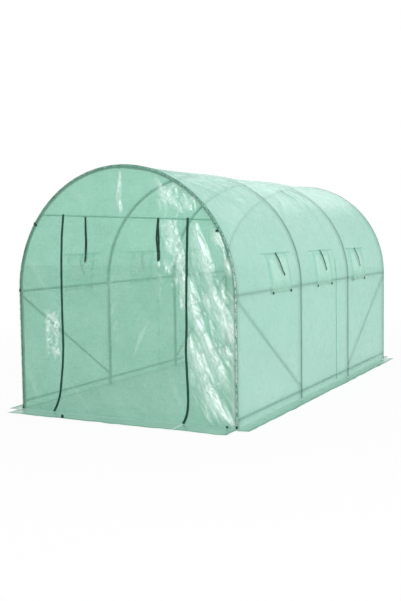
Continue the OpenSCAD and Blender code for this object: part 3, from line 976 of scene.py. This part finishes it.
def stitches(name, surface, path, width, out, pitch=0.0125, thick=0.0009):
    """One row of lock stitches along a path: short raised threads with gaps between them."""
    path = np.array(path, float)
    reached = np.concatenate([[0], np.cumsum(np.linalg.norm(np.diff(path, axis=0), axis=1))])
    way_u = smooth_curve(list(zip(reached, path[:, 0])), 0.08)
    way_v = smooth_curve(list(zip(reached, path[:, 1])), 0.08)
    one_stitch = [(0, 0, 0), (0.5, -0.5, 0.3), (0.5, 0.5, 0.3), (0.5, 0, 1), (1, 0, 0)]
    corners = []
    faces = []
    for k in range(int(reached[-1] / pitch)):
        for run, side, lift in one_stitch:
            at = (k + 0.15 + run * 0.70) * pitch
            corners.append((float(way_u(at)), float(way_v(at)) + side * width, out + lift * thick))
        base = 5 * k
        faces += [(base, base + 3, base + 1), (base, base + 2, base + 3),
                  (base + 1, base + 3, base + 4), (base + 3, base + 2, base + 4)]
    table = np.array(corners)
    x, y, z = surface(table[:, 0], table[:, 1], table[:, 2])
    mesh = bpy.data.meshes.new(name)
    mesh.from_pydata(np.stack([x, y, z], axis=-1).tolist(), [], faces)
    layer = mesh.uv_layers.new(name="cloth")
    loops = np.array(faces).ravel()
    layer.data.foreach_set("uv", table[loops][:, :2].ravel().astype(np.float32))
    mesh.update()
    obj = bpy.data.objects.new(name, mesh)
    scene.collection.objects.link(obj)
    finish(obj, seam_thread)


SEAM_CLEAR = 0.004
HEAD_SEAM_WIDTH = 0.012
HEAD_PIPING_WIDTH = 0.0024
COVER_SEAM_Y = 0.31
COVER_SEAM_WIDTH = 0.022
SEAM_FOLD_WIDTH = 0.0045
SEAM_FOOT = 0.03


def door_head_seam():
    """The welded seam above the door, with its piping and its stitches."""
    left_end = -float(arch_half(seam_z(-0.80))) + SEAM_CLEAR
    right_end = float(arch_half(seam_z(0.80))) - SEAM_CLEAR
    path = [(x, seam_z(x)) for x in (left_end, -0.3, 0.3, right_end)]
    band, long = ribbon("door_head_seam", on_front, path, HEAD_SEAM_WIDTH, 0.0010, 0.010, 4)
    film_sheet(band, front_film_shaded, (HEAD_SEAM_WIDTH, long), to_the_front)
    rolled, long = ribbon("door_head_piping", on_front, path, HEAD_PIPING_WIDTH, 0.0010, 0.008, 6,
                          crown=0.0012)
    film_sheet(rolled, seam_thread, (HEAD_PIPING_WIDTH, long), to_the_front)
    stitches("door_head_stitches", on_front, [(x, z + 0.010) for x, z in path], 0.0018, 0.0020)


def cover_seam():
    """The seam across the cover's middle bay, and the narrow fold beside it on each long wall."""
    far = GIRTH - SEAM_FOOT
    y = COVER_SEAM_Y
    path = [(SEAM_FOOT, y), (GIRTH * 0.25, y + 0.012), (GIRTH * 0.5, y), (GIRTH * 0.75, y - 0.012), (far, y)]
    weld, long = ribbon("cover_seam", on_cover, path, COVER_SEAM_WIDTH, 0.0012, 0.02, 3)
    film_sheet(weld, cover_film, (COVER_SEAM_WIDTH, long), from_axis)
    for hand, low, high in (("left", SEAM_FOOT, LEG_TOP + 0.20), ("right", RIGHT_LEG_S - 0.20, far)):
        fold = [(low, y - 0.016), ((low + high) / 2, y - 0.012), (high, y - 0.016)]
        turned, long = ribbon(f"cover_seam_fold_{hand}", on_cover, fold, SEAM_FOLD_WIDTH, 0.0014, 0.012, 4,
                              crown=0.0020)
        film_sheet(turned, seam_thread, (SEAM_FOLD_WIDTH, long), from_axis)


# ------------------------------------------------------------ zips and door straps
def zip_line(name, line, node):
    """A zip: two woven tapes, the coil that closes them and the slider at its foot."""
    top = float(seam_z(line(1.59))) + 0.012
    heights = [0.006, 0.05, 0.10, 0.16, 0.27, 0.40, 0.55, 0.75, 1.0, 1.25, 1.45, top]
    path = [(float(line(z)), z) for z in heights]

    def pucker(run, side):
        return 0.0006 * np.sin(run / 0.018) * np.sign(side)

    tape, long = ribbon(f"{name}_tape", on_front, path, ZIP_WIDTH, 0.0018, 0.006, 6, crown=0.0004,
                        ridge=pucker)

    def tooth(run, side):
        crest = 0.5 + 0.5 * np.cos(2 * math.pi * (run / 0.0038 + 0.5 * (side > 0)))
        return 0.0012 * crest * (1 - (side / 0.0034) ** 2)

    coil, coil_long = ribbon(f"{name}_coil", on_front, path, 0.0068, 0.0020, 0.00125, 6, crown=0.0016,
                             ridge=tooth)
    film_sheet(coil, zip_tape, (0.0068, coil_long), to_the_front)
    film_sheet(tape, zip_tape, (ZIP_WIDTH, long), to_the_front)
    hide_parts(node)
    slider(f"{name}_slider", float(line(0.075)), 0.075, float(line(0.12) - line(0.03)) / 0.09)


def rounded_block(size, spot, rounding, segments):
    """A small block with its edges rounded."""
    bare()
    bpy.ops.mesh.primitive_cube_add(size=1, location=spot)
    block = bpy.context.object
    block.scale = size
    bpy.ops.object.transform_apply(location=True, rotation=False, scale=True)
    on_whole_mesh(block, bpy.ops.mesh.bevel, offset=rounding, segments=segments, affect="EDGES")
    return block


def slider(name, x, z, lean):
    """The zip's slider with its bridge and pull tab."""
    body = rounded_block((0.013, 0.006, 0.019), (0, 0, 0), 0.0020, 3)
    bare()
    bpy.ops.mesh.primitive_torus_add(location=(0, -0.0048, 0.0015), rotation=(0, math.pi / 2, 0),
                                     major_radius=0.0035, minor_radius=0.0010, major_segments=20,
                                     minor_segments=8)
    bridge = bpy.context.object
    tab = rounded_block((0.0075, 0.0018, 0.031), (0, -0.0068, -0.014), 0.0007, 2)
    whole = join_up(name, [body, bridge, tab])
    turn = Matrix.Rotation(math.atan(lean), 4, "Y")
    spot = on_front(x, z, 0.0045)
    whole.data.transform(Matrix.Translation([float(c) for c in spot]) @ turn)
    finish(whole, slider_metal, smooth=False)
    round_off(whole)


def join_up(name, parts):
    """Joins pieces that were just modelled into one, with its place kept in its mesh."""
    for part in parts:
        only(part)
        bpy.ops.object.transform_apply(location=True, rotation=True, scale=True)
    bare()
    for part in parts:
        part.select_set(True)
    bpy.context.view_layer.objects.active = parts[0]
    bpy.ops.object.join()
    whole = bpy.context.object
    whole.name = name
    whole.data.name = name
    bare()
    return whole


SHARP_ANGLE = math.radians(35)


def round_off(obj):
    """Shades a hard piece smooth, with its sharp edges kept."""
    only(obj)
    bpy.ops.object.shade_smooth_by_angle(angle=SHARP_ANGLE)
    bare()


def door_straps():
    """The pairs of tapes above the door that hold it when it is rolled up, each sewn on with stitches."""
    right = [[(0.353, 1.582), (0.346, 1.500), (0.340, 1.420), (0.345, 1.330), (0.350, 1.252)],
             [(0.357, 1.582), (0.360, 1.480), (0.358, 1.380), (0.362, 1.262)]]
    left = [[(-0.314, 1.604), (-0.309, 1.500), (-0.308, 1.420), (-0.319, 1.300), (-0.325, 1.243)],
            [(-0.313, 1.604), (-0.311, 1.520), (-0.314, 1.420), (-0.316, 1.330), (-0.316, 1.262)]]
    for side, tapes in (("right", right), ("left", left)):
        for number, path in enumerate(tapes):

            def hang(run, across, number=number):
                swing = 0.0045 * np.sin(run * (13 + 4 * number)) ** 2
                return 0.0020 + 0.0030 * number + swing + across * 0.15

            name = f"door_strap_{side}_tape_{number + 1}"
            tape, long = ribbon(name, on_front, path, 0.018, hang, 0.006, 4)
            film_sheet(tape, green_tape, (0.018, long), to_the_front)
            if number == 0:
                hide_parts(f"door_strap_{side}")
        x, z = tapes[0][0]
        row = [(x - 0.008, z - 0.006), (x + 0.020, z - 0.006)]
        stitches(f"door_strap_{side}_stitches", on_front, row, 0.0018, 0.0070)


# ------------------------------------------------------------ flaps on the ground
flap_waves = ripples(24, 0.55, 0.12, 51)
flap_crumple = ripples(24, 0.12, 0.04, 52)
HEM_WIDTH = 0.024


def lying(x, y, off_wall, out=0.0):
    """Height of a ground flap at a place: it curls up into the wall and lies a little unevenly outside."""
    curl = 0.009 * np.exp(-((off_wall / 0.013) ** 2))
    loose = np.clip(off_wall / 0.05, 0, 1)
    rise = 0.0052 + 0.0050 * flap_waves(x, y) + 0.0011 * flap_crumple(x, y)
    return 0.0008 + curl + np.maximum(rise, 0.0) * loose + out


def ground_flap(label, along, side, hem_ends):
    """One flap of film on the ground. side is the way that it reaches out from its wall."""
    node = f"ground_flap_{label}"
    name = f"{node}_sheet"
    low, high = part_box(node)
    at_an_end = side in ("front", "rear")
    sign = -1 if side in ("front", "left") else 1
    wall = END_Y if at_an_end else FILM_R
    reach = {"front": -low.y, "rear": high.y, "left": -low.x, "right": high.x}[side] - wall

    def place(run, off, out=0.0):
        fray = 1 + 0.012 * np.sin(run * 9.0) + 0.006 * np.sin(run * 23.0 + 1)
        edge = sign * (wall + off * fray)
        x, y = (run, edge) if at_an_end else (edge, run)
        return x + 0 * edge, y + 0 * edge, lying(x, y, off, out) + 0 * edge

    rows = even_steps(list(along), 0.018)
    columns = np.concatenate([[0, 0.004, 0.009, 0.015, 0.022], even_steps([0.032, reach], 0.016)])
    flap = sheet_from_grid(name, rows, columns, place)
    film_sheet(flap, ground_film, (along[-1] - along[0], reach), upwards)
    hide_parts(node)
    hem_columns = np.linspace(reach - HEM_WIDTH, reach + 0.0005, 5)
    hem = sheet_from_grid(f"{name}_hem", rows, hem_columns, lambda run, off: place(run, off, 0.0011))
    film_sheet(hem, hem_film, (along[-1] - along[0], HEM_WIDTH), upwards)
    stitch_row = [(along[0] + 0.01, reach - HEM_WIDTH + 0.003), (along[-1] - 0.01, reach - HEM_WIDTH + 0.003)]
    stitches(f"{name}_stitches", place, stitch_row, 0.0018, 0.0016)
    for number, at_end in enumerate(hem_ends):
        if at_end:
            run = along[0] if number == 0 else along[-1]
            inward = HEM_WIDTH if number == 0 else -HEM_WIDTH
            strip = even_steps(sorted([run, run + inward]), HEM_WIDTH / 3)
            end_hem = sheet_from_grid(f"{name}_end_hem_{number + 1}", strip, columns[3:-1],
                                      lambda a, off: place(a, off, 0.0010))
            film_sheet(end_hem, hem_film, (HEM_WIDTH, float(columns[-2] - columns[3])),
                       upwards)


def hem_tab():
    """The dark loop on the front hem that takes a peg."""

    def ground(x, off, out=0.0):
        y = -(END_Y + off)
        return x + 0 * off, y + 0 * x, lying(x, y, off, out)

    reach = -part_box("ground_flap_door")[0].y - END_Y
    path = [(-0.446, reach - 0.016), (-0.447, reach - 0.006), (-0.446, reach + 0.004)]

    def standing(run, side):
        return 0.0022 + 0.026 * np.sin(np.clip(run / 0.020, 0, 1) * math.pi)

    loop, long = ribbon("hem_peg_loop", ground, path, 0.017, standing, 0.0025, 4)
    film_sheet(loop, green_tape, (0.017, long + 0.040), upwards)


def ground_flaps():
    """The flaps along all four walls. The front's is slit below the two zips."""
    slit = 0.006
    left_slit = float(left_zip(0.0)) - 0.004
    right_slit = float(right_zip(0.0)) + 0.006
    low_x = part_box("ground_flap_front_left")[0].x
    high_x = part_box("ground_flap_front_right")[1].x
    ground_flap("front_left", [low_x, left_slit - slit / 2], "front", (True, False))
    ground_flap("door", [left_slit - slit / 2, right_slit - slit / 2], "front", (False, False))
    ground_flap("front_right", [right_slit + slit / 2, high_x], "front", (False, True))
    low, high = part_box("ground_flap_rear")
    ground_flap("rear", [low.x, high.x], "rear", (True, True))
    for side in ("left", "right"):
        low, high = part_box(f"ground_flap_{side}")
        ground_flap(side, [low.y, high.y], side, (True, True))


# ------------------------------------------------------------ windows
FLAP_HALF = 0.212
FLAP_TOP = 16.9
FLAP_TALL = FILM_R * math.radians(FLAP_TOP) + 0.030
FLAP_GRID = 0.0115
EDGE_WIDTH = 0.014
HEAD_HALF = 0.305
HEAD_WIDTH = 0.016
ROLL_TAPE_WIDTH = 0.026
CORNER_TAB_WIDTH = 0.036


def window(side, number, y):
    """One window: the net in its opening, the flap over it with its bound edges, and its roll-up tape."""
    slope = right_side if side == "right" else left_side
    down_slope = 1 if side == "right" else -1
    draw = np.random.default_rng(70 + number + (10 if side == "left" else 0))
    label = f"{side}_{number}"
    low_s, high_s = slope(WINDOW_LOW - 0.6), slope(WINDOW_HIGH + 0.6)
    net_rows = even_steps(sorted([low_s, high_s]), 0.018)
    net_columns = even_steps([y - WINDOW_HALF - 0.012, y + WINDOW_HALF + 0.012], 0.020)
    net = sheet_from_grid(f"window_net_{label}", net_rows, net_columns, lambda s, t: on_cover(s, t, -0.0022))
    film_sheet(net, net_mesh, (net_rows[-1] - net_rows[0], net_columns[-1] - net_columns[0]),
               from_axis)
    if label == "right_1":
        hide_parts("window_nets")
    half = FLAP_HALF
    top = FLAP_TOP
    tall = FLAP_TALL
    shift = -0.030 if number == 1 else -0.006
    folds = small_folds(9, int(draw.integers(1000)), (-0.17, 0.17), (0.02, tall - 0.03), (0.06, 0.20),
                        (0.014, 0.030), (0.0012, 0.0034), 0.7)
    belly = ripples(14, 0.4, 0.10, int(draw.integers(1000)))
    lean = draw.uniform(-0.010, 0.010)

    def drape(across, down, out=0.0):
        edge = np.clip((half - np.abs(across)) / 0.03, 0, 1)
        free = np.clip(down / tall, 0, 1)
        stand = 0.0035 + 0.0075 * free * (1 - 0.3 * edge) + 0.0024 * belly(across, down) * edge
        stand = stand + folded(across, down, folds)
        stand = stand * (0.25 + 0.75 * np.clip(down / 0.03, 0, 1))
        narrow = 1 - 0.030 * free
        s = slope(top - math.degrees(1.0 / FILM_R) * down)
        return on_cover(s, y + shift + across * narrow + (lean - shift * 0.6) * free, stand + out)

    flap = sheet_from_grid(f"window_flap_{label}_sheet", even_steps([-half, half], FLAP_GRID),
                           even_steps([0.0, tall], FLAP_GRID), drape)
    edges = {
        "left_edge": (-half, -half + EDGE_WIDTH, 0.0, tall),
        "right_edge": (half - EDGE_WIDTH, half, 0.0, tall),
        "foot_edge": (-half + EDGE_WIDTH, half - EDGE_WIDTH, tall - EDGE_WIDTH, tall),
    }
    for part, (a0, a1, d0, d1) in edges.items():
        band = sheet_from_grid(f"window_flap_{label}_{part}", even_steps([a0, a1], FLAP_GRID),
                               even_steps([d0, d1], FLAP_GRID), lambda a, d: drape(a, d, 0.0010))
        film_sheet(band, hem_film, (a1 - a0, d1 - d0), from_axis)
    head = sheet_from_grid(f"window_head_band_{label}", even_steps([-HEAD_HALF, HEAD_HALF], 0.015),
                           np.linspace(-HEAD_WIDTH / 2, HEAD_WIDTH / 2, 4),
                           lambda a, d: on_cover(slope(top) + down_slope * d, y + shift + a, 0.0036))
    film_sheet(head, hem_film, (2 * HEAD_HALF, HEAD_WIDTH), from_axis)
    film_sheet(flap, flap_film, (2 * half, tall), from_axis)
    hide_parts(f"window_flap_{label}")
    row = [(-half + 0.01, 0.012), (half - 0.01, 0.012)]
    stitches(f"window_flap_{label}_stitches", drape, row, 0.0018, 0.0022)
    swing = 0.075 + draw.uniform(-0.012, 0.012)

    def tape_hang(run, across):
        return 0.0055 + 0.0060 * np.sin(np.clip(run / 0.20, 0, 1) * math.pi) ** 2

    tape_path = [(0.0, -0.004), (0.004, 0.060), (0.022, 0.105), (0.048, 0.150), (swing, 0.192)]
    tape, long = ribbon(f"window_tape_{label}", drape, tape_path, ROLL_TAPE_WIDTH, tape_hang, 0.006, 4)
    film_sheet(tape, green_tape, (ROLL_TAPE_WIDTH, long), from_axis)
    if label == "right_1":
        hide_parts("window_straps")
    for tab_number, a in enumerate((-half + 0.012, half - 0.012), start=1):
        foot = [(a, tall - 0.014), (a - 0.002, tall + 0.008)]
        tab, long = ribbon(f"window_corner_tab_{label}_{tab_number}", drape, foot, CORNER_TAB_WIDTH, 0.0022,
                           0.005, 5, crown=0.0008)
        film_sheet(tab, green_tape, (CORNER_TAB_WIDTH, long), from_axis)


def windows():
    """Three windows on each side."""
    for side in ("right", "left"):
        for number, y in enumerate(WINDOW_YS, start=1):
            window(side, number, y)


# ------------------------------------------------------------ frame fittings
def hoop_point(y, degrees):
    """A point of a hoop's centre line and the direction there, by degrees from its right end over the top."""
    turn = math.radians(degrees)
    point = Vector((HOOP_R * math.cos(turn), y, LEG_TOP + HOOP_R * math.sin(turn)))
    return point, Vector((-math.sin(turn), 0, math.cos(turn)))


def turned_tube(name, length, radius, rims):
    """A short round sleeve along Z about the origin, with its rims rounded."""
    bare()
    bpy.ops.mesh.primitive_cylinder_add(vertices=32, radius=radius, depth=length, end_fill_type="NGON")
    tube = bpy.context.object
    tube.name = name
    bpy.ops.object.mode_set(mode="EDIT")
    bpy.ops.mesh.select_all(action="DESELECT")
    bpy.ops.object.mode_set(mode="OBJECT")
    for face in tube.data.polygons:
        face.select = abs(face.normal.z) > 0.9
    bpy.ops.object.mode_set(mode="EDIT")
    bpy.ops.mesh.select_mode(type="FACE")
    bpy.ops.mesh.inset(thickness=rims, use_individual=True)
    bpy.ops.mesh.select_all(action="SELECT")
    bpy.ops.mesh.select_mode(type="EDGE")
    bpy.ops.mesh.bevel(offset=rims * 0.45, segments=2, affect="EDGES", clamp_overlap=True)
    bpy.ops.object.mode_set(mode="OBJECT")
    return tube


def placed_copies(pattern, name, places):
    """Copies of a modelled piece, each with its own mesh, joined into one piece."""
    copies = []
    for point, up, spin in places:
        copy = pattern.copy()
        copy.data = pattern.data.copy()
        scene.collection.objects.link(copy)
        turn = up.to_track_quat("Z", "Y").to_matrix().to_4x4()
        copy.data.transform(Matrix.Translation(point) @ turn @ Matrix.Rotation(spin, 4, "Z"))
        copies.append(copy)
    bpy.data.objects.remove(pattern, do_unlink=True)
    return join_up(name, copies)


def hoop_sleeves():
    """Sleeves where the lengths of hoop tube plug into each other."""
    sleeve = turned_tube("sleeve", 0.075, TUBE / 2 + 0.0012, 0.0022)
    places = []
    for y in HOOP_YS:
        for degrees in (20, 50, 130, 160):
            point, way = hoop_point(y, degrees)
            places.append((point, way, 0.0))
        for side in (-1, 1):
            places.append((Vector((side * HOOP_R, y, 0.50)), Vector((0, 0, 1)), 0.0))
            places.append((Vector((side * HOOP_R, y, LEG_TOP - 0.005)), Vector((0, 0, 1)), 0.0))
    sleeves = placed_copies(sleeve, "hoop_sleeves", places)
    finish(sleeves, tube_coat, smooth=False)
    round_off(sleeves)


def rounded_disc(sides, radius, depth, height, rounding, segments):
    """A disc or prism about the Z axis with its edges rounded."""
    bare()
    bpy.ops.mesh.primitive_cylinder_add(vertices=sides, radius=radius, depth=depth, location=(0, 0, height))
    disc = bpy.context.object
    on_whole_mesh(disc, bpy.ops.mesh.bevel, offset=rounding, segments=segments, affect="EDGES")
    return disc


def bolt_pattern():
    """A hexagon bolt head on its washer, pointing along Z, with a domed end."""
    washer = rounded_disc(28, 0.0085, 0.0016, 0.0008, 0.0004, 1)
    head = rounded_disc(6, 0.0058, 0.0045, 0.0038, 0.0007, 2)
    bare()
    bpy.ops.mesh.primitive_uv_sphere_add(segments=16, ring_count=8, radius=0.0034, location=(0, 0, 0.0056))
    return join_up("bolt", [washer, head, bpy.context.object])


def frame_bolts():
    """Bolts that hold the rails, the ridge pole and the braces to the hoops, from the inside."""
    places = []
    inner = HOOP_R - TUBE / 2
    for y in HOOP_YS:
        for side in (-1, 1):
            for z in (SIDE_RAIL_Z, BASE_RAIL_Z):
                places.append((Vector((side * (inner - 0.0004), y, z)), Vector((-side, 0, 0)), 0.3))
        places.append((Vector((0, y, LEG_TOP + inner - 0.0004)), Vector((0, 0, -1)), 0.0))
    for node in ("brace_front_left", "brace_front_right", "brace_rear_left", "brace_rear_right"):
        low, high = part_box(node)
        side = -1 if "left" in node else 1
        face = min(abs(low.x), abs(high.x)) - 0.0002
        flip = -1 if "front" in node else 1
        for z, y in ((low.z + 0.012, low.y + 0.012 if flip > 0 else high.y - 0.012),
                     (high.z - 0.012, high.y - 0.012 if flip > 0 else low.y + 0.012)):
            places.append((Vector((side * face, y, z)), Vector((-side, 0, 0)), 0.5))
    bolts = placed_copies(bolt_pattern(), "frame_bolts", places)
    finish(bolts, bolt_zinc, smooth=False)
    round_off(bolts)


def tube_collars():
    """Flattened collars where the rails and the ridge pole meet the hoops."""
    bare()
    bpy.ops.mesh.primitive_torus_add(major_radius=0.0122, minor_radius=0.0030, major_segments=28,
                                     minor_segments=10)
    ring = bpy.context.object
    ring.scale = (1, 1, 2.6)
    bpy.ops.object.transform_apply(location=False, rotation=False, scale=True)
    places = []
    half = TUBE / 2 + 0.006
    for node in ("side_rail_left", "side_rail_right", "base_rail_left", "base_rail_right", "ridge_pole"):
        low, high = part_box(node)
        x = (low.x + high.x) / 2
        z = (low.z + high.z) / 2
        for number, y in enumerate(HOOP_YS):
            for side in (-1, 1):
                if number == 0 and side < 0 or number == 3 and side > 0:
                    continue
                places.append((Vector((x, y + side * half, z)), Vector((0, 1, 0)), 0.0))
    collars = placed_copies(ring, "rail_collars", places)
    finish(collars, tube_coat, smooth=False)
    round_off(collars)


def front_ties():
    """The short ties on the front beside its hoop: two on the right and one on the left."""
    spots = {
        "front_tie_right_1": [(0.930, 0.020), (0.910, 0.016)],
        "front_tie_right_2": [(0.866, 1.481), (0.844, 1.473)],
        "front_tie_left": [(-0.795, 1.541), (-0.822, 1.558)],
    }
    for name, path in spots.items():
        tie, long = ribbon(name, on_front, path, 0.019, 0.0050, 0.004, 6, crown=0.0040)
        film_sheet(tie, green_tape, (0.019, long),
                   to_the_front)


def rim_ties():
    """Short hook-and-loop ties that hold the end walls to the hoops."""
    right_hand = [GIRTH - 0.020, GIRTH - LEG_TOP - 0.006, GIRTH - LEG_TOP - 0.508]
    left_hand = [0.020, LEG_TOP + 0.006, LEG_TOP + 0.600]
    wide = 0.024
    rows = even_steps([0.75, 1.57], 0.05)
    columns = np.linspace(-wide / 2, wide / 2, 7)
    for end, side in (("front", -1), ("rear", 1)):
        surface = round_the_end(side)
        for hand, spots in (("right", right_hand), ("left", left_hand)):
            for number, s in enumerate(spots, start=1):

                def place(turn, across, s=s, surface=surface):
                    knot = 0.0045 * np.exp(-((across / 0.007) ** 2)) * np.sin(math.pi * (turn - 0.75) / 0.82)
                    return surface(s + across, turn, 0.0056 + knot)

                tie = sheet_from_grid(f"{end}_rim_tie_{hand}_{number}", rows, columns, place,
                                      cut=lambda turn, across: (across, turn * WRAP_R))
                tie_tape = green_tape if number == 1 or hand == "left" else seam_thread
                film_sheet(tie, tie_tape, (wide, 0.82 * (WRAP_R + 0.006)),
                           round_the_rim(side))


# ------------------------------------------------------------ stage
SURROUND_LIGHT = 0.42
FLOOR_WHITE = 0.93
LAMPS = [
    ("key_lamp", (4.3, -9.2, 3.9), (0.8, -2.0, 0.8), (4.0, 5.4), 530),
    ("side_lamp", (8.2, 1.0, 3.4), (0.6, 0.2, 1.0), (3.5, 3.0), 330),
    ("top_lamp", (-1.0, 0.5, 7.5), (0, 0, 1.2), (5.0, 5.0), 95),
    ("left_lamp", (-7.0, -2.0, 4.0), (0, 0, 1.0), (3.0, 3.0), 110),
    ("back_lamp", (-2.0, 9.0, 4.2), (0, 1.0, 1.6), (5.0, 2.6), 90),
]


def studio_floor():
    """A plain pale floor. Seen with nothing before it, it runs into the white."""
    bare()
    bpy.ops.mesh.primitive_plane_add(size=60, location=(0, 0, -0.001))
    floor = bpy.context.object
    floor.name = "studio_floor"
    f = Finish("studio_floor")
    path = f.add("ShaderNodeLightPath")
    ground = f.add("ShaderNodeBsdfDiffuse", Color=(0.72, 0.72, 0.72))
    white = f.add("ShaderNodeEmission", Color=(1.0, 1.0, 1.0), Strength=1.0)
    far = f.add("ShaderNodeVectorMath", Vector=f.object_place())
    far.operation = "LENGTH"
    share = f.fit(far.outputs["Value"], 2.6, 7.0, FLOOR_WHITE, 1.0)
    open_view = f.math("LESS_THAN", path.outputs["Transparent Depth"], 0.5)
    share = f.math("MULTIPLY", share, open_view)
    share = f.math("MULTIPLY", f.seen_or_mirrored(path), share)
    floor.data.materials.append(f.done(f.blend(share, ground, white)))


def surround():
    """White where it is seen or mirrored, and a softer light on everything else."""
    world = bpy.data.worlds.new("studio_surround")
    scene.world = world
    sky = Nodes(world)
    seen = sky.seen_or_mirrored(sky.add("ShaderNodeLightPath"))
    strength = sky.fit(seen, 0.0, 1.0, SURROUND_LIGHT, 1.0)
    shell = sky.add("ShaderNodeBackground", Color=(1.0, 1.0, 1.0), Strength=strength)
    sky.add("ShaderNodeOutputWorld", Surface=shell.outputs[0])


def lamps():
    """Soft lamps round the tunnel, each aimed at a place on it."""
    for name, spot, aim, size, watts in LAMPS:
        data = bpy.data.lights.new(name, "AREA")
        data.shape = "RECTANGLE"
        data.size, data.size_y = size
        data.energy = watts
        lamp = bpy.data.objects.new(name, data)
        lamp.location = spot
        lamp.rotation_euler = (Vector(aim) - Vector(spot)).to_track_quat("-Z", "Y").to_euler()
        scene.collection.objects.link(lamp)
        lamp.visible_camera = False


def camera():
    """Looks at the tunnel's front and right-hand side from standing height."""
    yaw, pitch, roll = -0.4761, -0.0741, -0.0140
    ahead = Vector((math.sin(yaw) * math.cos(pitch), math.cos(yaw) * math.cos(pitch), math.sin(pitch)))
    right = Vector((math.cos(yaw), -math.sin(yaw), 0))
    up = right.cross(ahead)
    across = right * math.cos(roll) + up * math.sin(roll)
    above = up * math.cos(roll) - right * math.sin(roll)
    data = bpy.data.cameras.new("camera")
    data.lens = 51.858
    data.clip_end = 200
    item = bpy.data.objects.new("camera", data)
    axes = Matrix((across, above, -ahead)).transposed().to_4x4()
    item.matrix_world = Matrix.Translation((3.6652, -7.7405, 1.4372)) @ axes
    scene.collection.objects.link(item)
    scene.camera = item


# ------------------------------------------------------------ putting it together
bare()
for frame_node in frame["nodes"].values():
    for index in range(len(frame_node.data.materials)):
        frame_node.data.materials[index] = tube_coat
tunnel_cover()
end_walls()
end_bindings()
door_head_seam()
cover_seam()
zip_line("left_zip", left_zip, "door_zip_left")
zip_line("right_zip", right_zip, "door_zip_right")
door_straps()
ground_flaps()
hem_tab()
windows()
hoop_sleeves()
tube_collars()
frame_bolts()
rim_ties()
front_ties()
studio_floor()
surround()
lamps()
camera()
